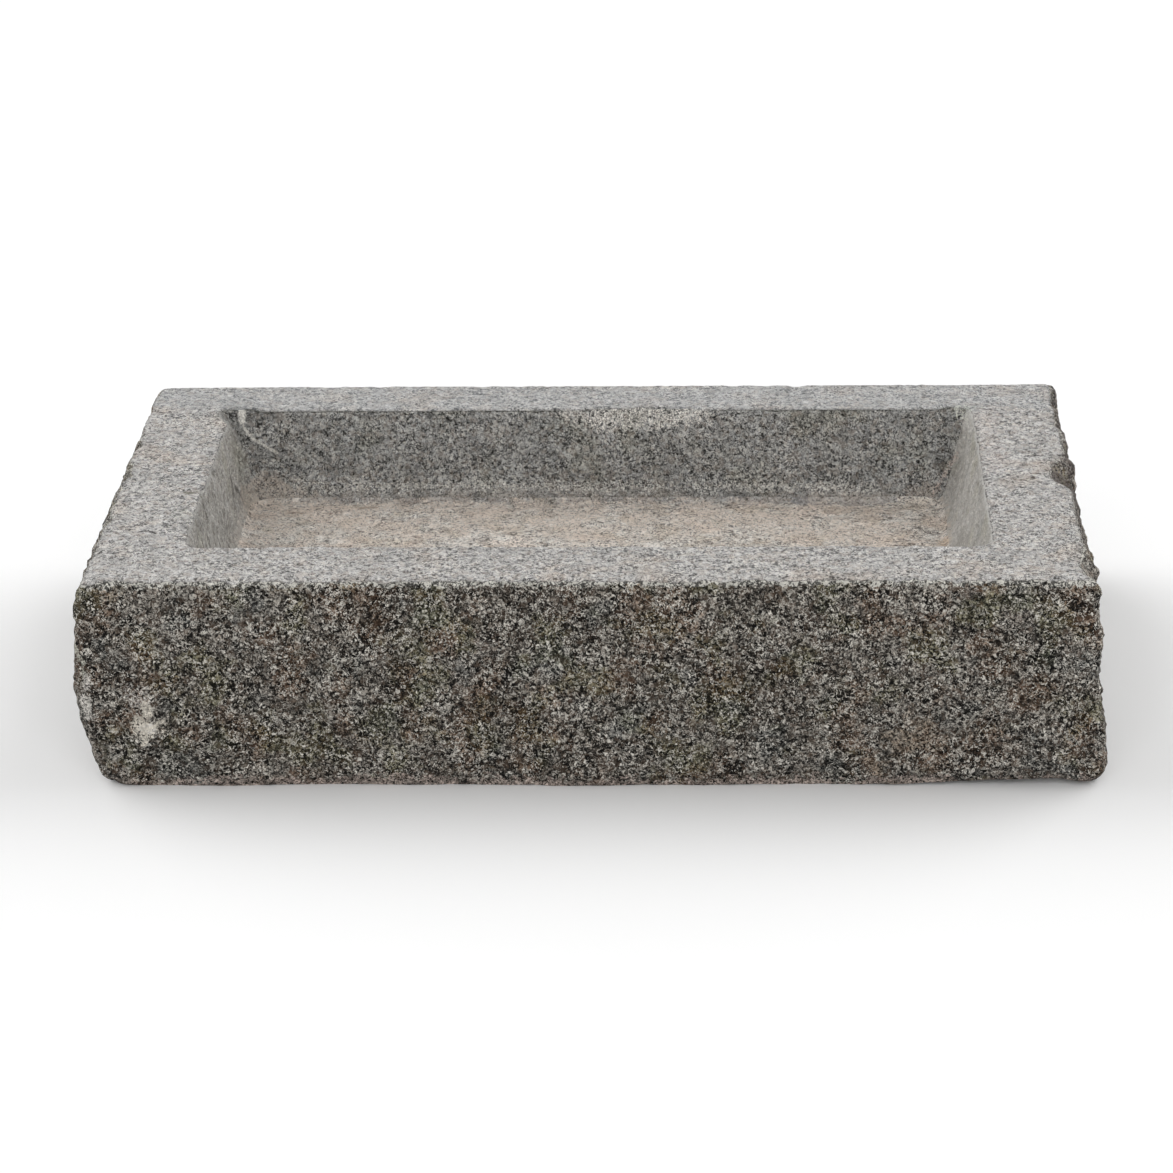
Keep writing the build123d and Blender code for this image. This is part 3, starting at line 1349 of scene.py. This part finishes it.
SPLIT_MARKS = (
    *on(
        Face.FRONT,
        ((-224.3, -154, 51.5), 7.5, WHITE, 0.80, None, 1.1),
        ((-221.8, -154, 45.5), 3.2, CREAM, 1.0, (-220.8, -154, 42.5), 0.6),
        ((-221.0, -154, 42.5), 1.8, CREAM, 0.9, (-226.2, -154, 37.5), 0.7),
        ((-224.5, -154, 35.0), 4.8, CREAM, 1.0, (-220.8, -154, 33.8), 0.85),
        ((-222.8, -154, 34.5), 3.5, WHITE, 1.0, (-220.0, -154, 34.0), 0.3),
        ((-225.5, -154, 39.0), 2.6, CREAM, 0.9, (-222.5, -154, 34.5), 0.8),
        ((-222.2, -154, 33.5), 2.2, CREAM, 1.0, (-222.6, -154, 26.5), 0.7),
        ((-219.5, -154, 33.8), 1.6, CREAM, 0.9, (-213.0, -154, 38.5), 0.7),
        ((-216.0, -154, 34.0), 2.8, CREAM, 0.8, (-212.0, -154, 33.0), 1.25),
        ((-257.5, -150, 72.0), 3.6, STONE, 0.5, (-254.5, -150, 45.0), 1.0),
        ((-256.0, -150, 78.1), 1.5, CRUMB, 0.8, (-252.5, -150, 68.9), 0.8),
        ((-252.5, -150, 68.9), 1.7, CRUMB, 0.8, (-250.6, -150, 58.5), 1.0),
        ((-250.8, -150, 61.0), 2.6, WHITE, 1.0, (-251.2, -150, 54.0), 1.0),
        ((-251.4, -150, 49.0), 3.4, WHITE, 1.0, (-251.0, -150, 40.0), 0.7),
    ),
    *on(
        Face.END,
        ((252, 140, 110), 12, UMBER, 0.55, (252, -100, 110), 0.9),
        ((252, 12, 104), 15, UMBER, 0.60, (252, -10, 100), 0.9),
    ),
    *on(
        Face.FRONT,
        ((168, -156, 28), 17, RUST, 0.75, None, 1.15),
        ((145, -156, 13), 9, RUST, 0.75, None, 1.1),
        ((-240, -152, 0), 5.6, ROSE, 0.9, (250, -152, 0), 1.0),
    ),
)
SAWN_MARKS = on(
    Face.TOP,
    ((-226.5, -80.0, 112), 0.8, DARK, 0.9, (-222.5, -83.5, 112), 0.4),
    ((-230.0, -81.5, 112), 0.8, DARK, 0.8, (-226.5, -80.0, 112), 0.4),
    ((-202.9, 112.0, 112), 5.0, OLIVE, 0.4),
    ((-212.1, 10.1, 112), 3.0, DARK, 0.7),
    ((-212.4, -24.3, 112), 3.5, OLIVE, 0.9),
    ((-211.7, -48.4, 112), 3.5, DARK, 0.7),
    ((-211.5, -50.0, 112), 7.0, CRUMB, 0.7, (-210.0, -60.0, 112), 1.4),
    ((-212.0, 30.4, 112), 2.4, DARK, 0.7),
    ((-209.2, -74.4, 112), 3.0, DARK, 0.6),
    ((-240, 128, 112), 26, COOL, 0.22, (240, 128, 112), 0.4),
    ((197, 110, 112), 6, LICHEN, 0.8, (203, 108, 112)),
    ((212, 104, 112), 7, ROSE, 0.25, (214, 10, 112)),
)
WALL_MARKS = (
    *on(
        Face.FRONT,
        # Painted shadow: a dark line just under the pale scratch on the back wall.
        ((-193.0, 105, 95.2), 1.2, DARK, 0.35, (-181.5, 103, 87.8), 0.3),
        ((-199.0, 106, 103.3), 0.9, PALE, 0.75, (-193.3, 105, 96.3), 0.7),
        ((-193.3, 105, 96.3), 1.0, PALE, 0.75, (-180.5, 103, 88.4), 0.7),
        ((-137, 99.5, 71.0), 1.4, PALE, 0.60, (-29, 99.3, 69.8), 1.0),
        ((68.6, 99.4, 70.0), 1.2, PALE, 0.55, (137, 99.4, 69.6), 0.9),
        ((-108, 99.5, 71.0), 12, EARTH_AND_SHADOW, 0.45, None, 1.2),
        ((-10, 100.0, 78.0), 13, EARTH_AND_SHADOW, 0.35, None, 1.2),
        ((-180, 99, 69.0), 4.4, PALE, 1.0, (150, 99, 68.5), 1.2),
        ((-190, 99, 65.0), 3.4, DARK, 0.8, (-40, 99, 65.0), 1.35),
        ((-40, 99, 64.5), 3.6, DARK, 0.9, (112, 99, 64.5), 1.3),
        ((-198, 92, 70.5), 7.5, SILT, 0.80, (-165, 98, 63.0), 0.9),
        ((186, 92, 69.0), 5.0, SILT, 0.60, (172, 97, 63.5), 0.9),
        ((112, 98, 64.0), 3.0, DARK, 0.6, (178, 98, 62.5), 1.2),
        ((-14, 108, 108.0), 7.5, WHITE, 1.0, (53, 108, 109.0), 1.12),
        ((-203, 108, 108.0), 4.0, DARK, 0.8, (-194, 107, 107.0), 1.6),
        ((-196, 107, 109.5), 5.0, DARK, 0.7, (-182, 107, 109.5), 1.2),
        ((-200.3, 108, 113.0), 2.5, PALE, 1.0, (-199.6, 107, 106.2), 0.55),
        ((194.0, 107, 107.0), 5.5, DARK, 0.6, (193.5, 104, 94.0), 1.7),
        ((189.0, 104, 85.0), 5.0, DARK, 0.9, None, 1.1),
        ((198.5, 108, 109.5), 4.0, CRUMB, 0.9, (203.0, 107, 107.5), 1.2),
        ((197.9, 103, 89.3), 1.5, ROSE, 0.7, (182.6, 98, 62.0), 1.0),
    ),
    *on(
        Face.END,
        ((-204, 92.6, 105.5), 4.5, DARK, 0.8, None, 1.2),
        ((-206, 14.7, 110.0), 4.0, DARK, 0.7, None, 1.2),
        ((-206, -25.9, 111.0), 4.5, OLIVE, 0.9, None, 1.2),
        ((-206, -61.0, 111.0), 5.0, DARK, 0.7, None, 1.2),
        ((-200, 68.5, 81.5), 1.6, DARK, 0.7, (-199, 75.0, 74.5), 0.8),
        ((-204, -48.9, 104.8), 1.3, DARK, 0.6, (-203, -47.4, 100.5), 0.7),
        ((-201, 6.0, 84.9), 1.3, DARK, 0.6, (-200, 7.5, 80.6), 0.7),
        ((-200, -14.1, 83.0), 1.4, DARK, 0.6, (-200, -12.0, 77.0), 0.7),
        ((-205, -34.5, 111.0), 1.1, PALE, 0.6, (-204, -37.9, 103.0), 0.7),
    ),
)
FLOOR_MARKS = on(
    Face.TOP,
    ((-165, 98.0, 62), 5.6, SHADE, 1.0, (-40, 97.5, 62), 0.8, Lay.INTO),
    ((-40, 97.5, 62), 6.0, SHADE, 1.0, (112, 97.0, 62), 0.8, Lay.INTO),
    ((112, 97.0, 62), 7.5, SHADE, 1.0, (160, 95.5, 62), 0.8, Lay.INTO),
    ((-150, 96.5, 62), 3.4, DARK, 0.8, (-20, 96.0, 62), 1.4),
    ((-20, 96.0, 62), 3.8, DARK, 0.8, (110, 95.5, 62), 1.4),
    # Painted shadow: two soft brown-dark patches on the floor near the back wall, right of the
    # middle.
    ((130, 80.5, 62), 7.5, EARTH_AND_SHADOW, 0.45, (162, 78.5, 62), 0.9),
    ((136, 68.5, 62), 6.0, EARTH_AND_SHADOW, 0.45, (150, 68.0, 62), 0.9),
    ((-172, 79.5, 62), 2.0, EARTH_AND_SHADOW, 0.8, (-166, 78.5, 62), 0.7),
    ((-134, 86.5, 62), 2.2, EARTH_AND_SHADOW, 0.8, (-126, 86.0, 62), 0.7),
    ((188.1, 33.3, 62), 3.5, CLAY, 0.8, (187.5, 26.0, 62), 0.8),
)

FINISHES: dict[Zone, GraniteFinish] = {
    Zone.SPLIT: GraniteFinish(
        name="split_granite",
        # Darker than the other finishes: partly the weathered split face's own colour, partly
        # painted shade that stands in for the self-shadowing of its rough relief.
        minerals=Minerals(
            (0.22, 0.38, 0.52, 0.72), (0.009, 0.073, 0.147, 0.530), (1.0, 0.905, 0.795)
        ),
        warm=(0.221, 0.165, 0.126),
        crystal_size=0.0024,
        tilt=0.45,
        cluster=0.50,
        pits=0.90,
        glints=0.85,
        roughness=0.92,
        hollow=HollowShade((0.52, 0.50, 0.46), 0.9, 0.60),
        crumbs=Crumbs((0.851, 0.826, 0.753), 2.9, 1.0),
        tints=(
            Tint((0.93, 0.97, 0.74), 0.022, 0.9, 1.7, 0.51),
            Tint((1.00, 0.84, 0.74), 0.020, 1.0, 5.3, 0.51),
            Tint((0.74, 0.82, 0.88), 0.026, 0.9, 9.1),
            Tint((0.66, 0.64, 0.62), 0.034, 0.8, 3.9),
        ),
        marks=SPLIT_MARKS,
    ),
    Zone.SAWN: GraniteFinish(
        name="flamed_granite",
        minerals=Minerals(
            (0.20, 0.39, 0.54, 0.74), (0.170, 0.422, 0.537, 0.748), (1.0, 0.98, 0.963)
        ),
        warm=(0.540, 0.480, 0.435),
        crystal_size=0.0026,
        tilt=0.25,
        cluster=0.35,
        pits=0.65,
        glints=0.36,
        roughness=0.85,
        hollow=HollowShade((0.74, 0.73, 0.71), 0.35, 0.45),
        crumbs=Crumbs((0.330, 0.318, 0.290), 0.8, 0.50),
        tints=(
            Tint((1.00, 0.93, 0.87), 0.034, 0.7, 2.3),
            Tint((0.86, 0.87, 0.87), 0.026, 0.6, 6.1),
        ),
        marks=SAWN_MARKS,
    ),
    Zone.WALL: GraniteFinish(
        name="cut_granite",
        minerals=Minerals(
            (0.20, 0.39, 0.54, 0.74), (0.078, 0.270, 0.372, 0.590), (1.0, 0.998, 0.977)
        ),
        warm=(0.360, 0.315, 0.275),
        crystal_size=0.0021,
        tilt=0.35,
        cluster=0.30,
        pits=0.80,
        glints=0.36,
        roughness=0.88,
        hollow=HollowShade((0.62, 0.61, 0.58), 0.6, 0.50),
        crumbs=Crumbs((0.260, 0.255, 0.230), 1.3, 0.85),
        tooling=Tooling(groove=0.30, end_wall_light=0.62, strokes=0.60, seam=1.0),
        silt=SILT,
        tints=(
            Tint((0.84, 0.86, 0.87), 0.026, 0.6, 1.1),
            Tint((0.95, 0.94, 0.82), 0.030, 0.5, 7.7),
        ),
        marks=WALL_MARKS,
    ),
    Zone.FLOOR: GraniteFinish(
        name="silted_granite",
        minerals=Minerals(
            (0.22, 0.38, 0.52, 0.72), (0.170, 0.520, 0.700, 1.000), (1.0, 0.965, 0.910)
        ),
        warm=(0.640, 0.560, 0.490),
        crystal_size=0.0026,
        tilt=0.30,
        cluster=0.45,
        pits=0.78,
        glints=0.36,
        roughness=0.90,
        hollow=HollowShade((0.84, 0.80, 0.76), 0.4, 0.50),
        silt=(0.785, 0.677, 0.587),
        tints=(
            Tint((0.84, 0.80, 0.73), 0.016, 0.8, 4.1),
            Tint((1.00, 0.90, 0.84), 0.026, 0.7, 8.8),
        ),
        marks=FLOOR_MARKS,
    ),
    Zone.BED: GraniteFinish(
        name="sawn_bed",
        minerals=Minerals(
            (0.20, 0.37, 0.52, 0.80), (0.150, 0.270, 0.350, 0.500), (1.0, 0.960, 0.900)
        ),
        warm=(0.380, 0.320, 0.270),
        crystal_size=0.0028,
        tilt=0.20,
        cluster=0.30,
        pits=0.4,
        glints=0.2,
        roughness=0.88,
        hollow=HollowShade((0.6, 0.58, 0.54), 0.5, 0.3),
        tints=(Tint((0.85, 0.77, 0.67), 0.060, 0.7, 2.2),),
    ),
}


def dress(stone: bpy.types.Object) -> None:
    """Give each zone of the stone its finish."""
    crystals, mark = crystal_group(), mark_group()
    for zone, finish in FINISHES.items():
        stone.data.materials[zone.value] = finish.material(crystals, mark)


# The studio


@dataclass(frozen=True)
class Lamp:
    """A far soft light: its height over the horizon, and its turn away from the back."""

    name: str
    level: float
    height: float
    turn: float


@dataclass
class Studio:
    """The floor, the light and the camera."""

    floor_size: float = 14.0
    floor_gap: float = 0.0002
    floor_colour: Colour = (1.0, 1.0, 1.0)
    floor_bounce: Colour = (0.30, 0.30, 0.30)
    sky_level: float = 0.46
    lamp_spread: float = math.radians(60.0)
    lamps: tuple[Lamp, ...] = (
        Lamp("left", 1.50, math.radians(33.0), math.radians(62.0)),
        Lamp("right", 1.34, math.radians(33.0), math.radians(-62.0)),
        Lamp("front", 1.38, math.radians(25.0), math.radians(180.0)),
    )
    camera_place: Place = (0.0772, -2.0193, 0.8501)
    camera_down: float = math.radians(21.62)
    camera_left: float = math.radians(2.33)
    camera_roll: float = math.radians(-0.96)
    lens: float = 124.46
    sensor: float = 36.0

    def build(self) -> None:
        """Set up everything around the stone."""
        self._lay_floor()
        self._light_sky()
        self._hang_lamps()
        self._place_camera()
        bpy.context.scene.view_settings.view_transform = "Standard"

    @staticmethod
    def _seen(bench: NodeBench) -> Signal:
        """Return 1 for rays that show the background: to the camera, a gloss or a glass."""
        rays = bench.outputs("ShaderNodeLightPath")
        shiny = rays["Is Glossy Ray"] + rays["Is Transmission Ray"]
        feeds = {0: rays["Is Camera Ray"], 1: shiny}
        return bench.get("ShaderNodeMath", 0, feeds, operation="ADD", use_clamp=True)

    def _lay_floor(self) -> None:
        """Lay a plain pale floor under the stone."""
        bpy.ops.object.select_all(action="DESELECT")
        bpy.ops.mesh.primitive_plane_add(
            size=self.floor_size, location=(0.0, 0.0, -self.floor_gap)
        )
        floor = bpy.context.active_object
        floor.name = "floor"
        bpy.ops.object.transform_apply(location=True, rotation=True, scale=True)
        material, bench = start_material("floor_paper")
        colour = bench.mix(self._seen(bench), self.floor_bounce, self.floor_colour)
        finish_material(
            bench, {"Base Color": colour, "Roughness": 1.0, "Specular IOR Level": 0.0}
        )
        floor.data.materials.append(material)

    def _light_sky(self) -> None:
        """Give even light from all around, and a white background."""
        world = bpy.data.worlds.new("studio")
        bpy.context.scene.world = world
        world.use_nodes = True
        bench = NodeBench(world.node_tree)
        white = {"Color": (1.0, 1.0, 1.0), "Strength": 1.0}
        lit = bench.get("ShaderNodeBackground", 0, {"Strength": self.sky_level})
        shown = bench.get("ShaderNodeBackground", 0, white)
        mixed = bench.get("ShaderNodeMixShader", 0, {0: self._seen(bench), 1: lit, 2: shown})
        bench.node("ShaderNodeOutputWorld", {"Surface": mixed})

    def _hang_lamps(self) -> None:
        """Hang the wide soft lights around the stone."""
        for lamp in self.lamps:
            light = bpy.data.lights.new(lamp.name, "SUN")
            light.energy = lamp.level
            light.angle = self.lamp_spread
            hung = bpy.data.objects.new(lamp.name, light)
            hung.rotation_euler = (lamp.height - math.pi / 2, 0.0, lamp.turn)
            bpy.context.scene.collection.objects.link(hung)

    def _place_camera(self) -> None:
        """Stand the camera where the photograph was taken from."""
        data = bpy.data.cameras.new("camera")
        data.lens, data.sensor_width = self.lens, self.sensor
        camera = bpy.data.objects.new("camera", data)
        turn = (
            Matrix.Rotation(self.camera_left, 4, "Z")
            @ Matrix.Rotation(math.pi / 2 - self.camera_down, 4, "X")
            @ Matrix.Rotation(self.camera_roll, 4, "Z")
        )
        camera.matrix_world = Matrix.Translation(self.camera_place) @ turn
        bpy.context.scene.collection.objects.link(camera)
        bpy.context.scene.camera = camera


def main() -> None:
    """Build the stone and its studio."""
    logging.basicConfig(level=logging.INFO)
    stone = StoneBlock().build()
    dress(stone)
    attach(stone, BODY)
    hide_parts(NODE)
    log.info("%s: %d faces", stone.name, len(stone.data.polygons))
    Studio().build()


if __name__ == "__main__":
    main()
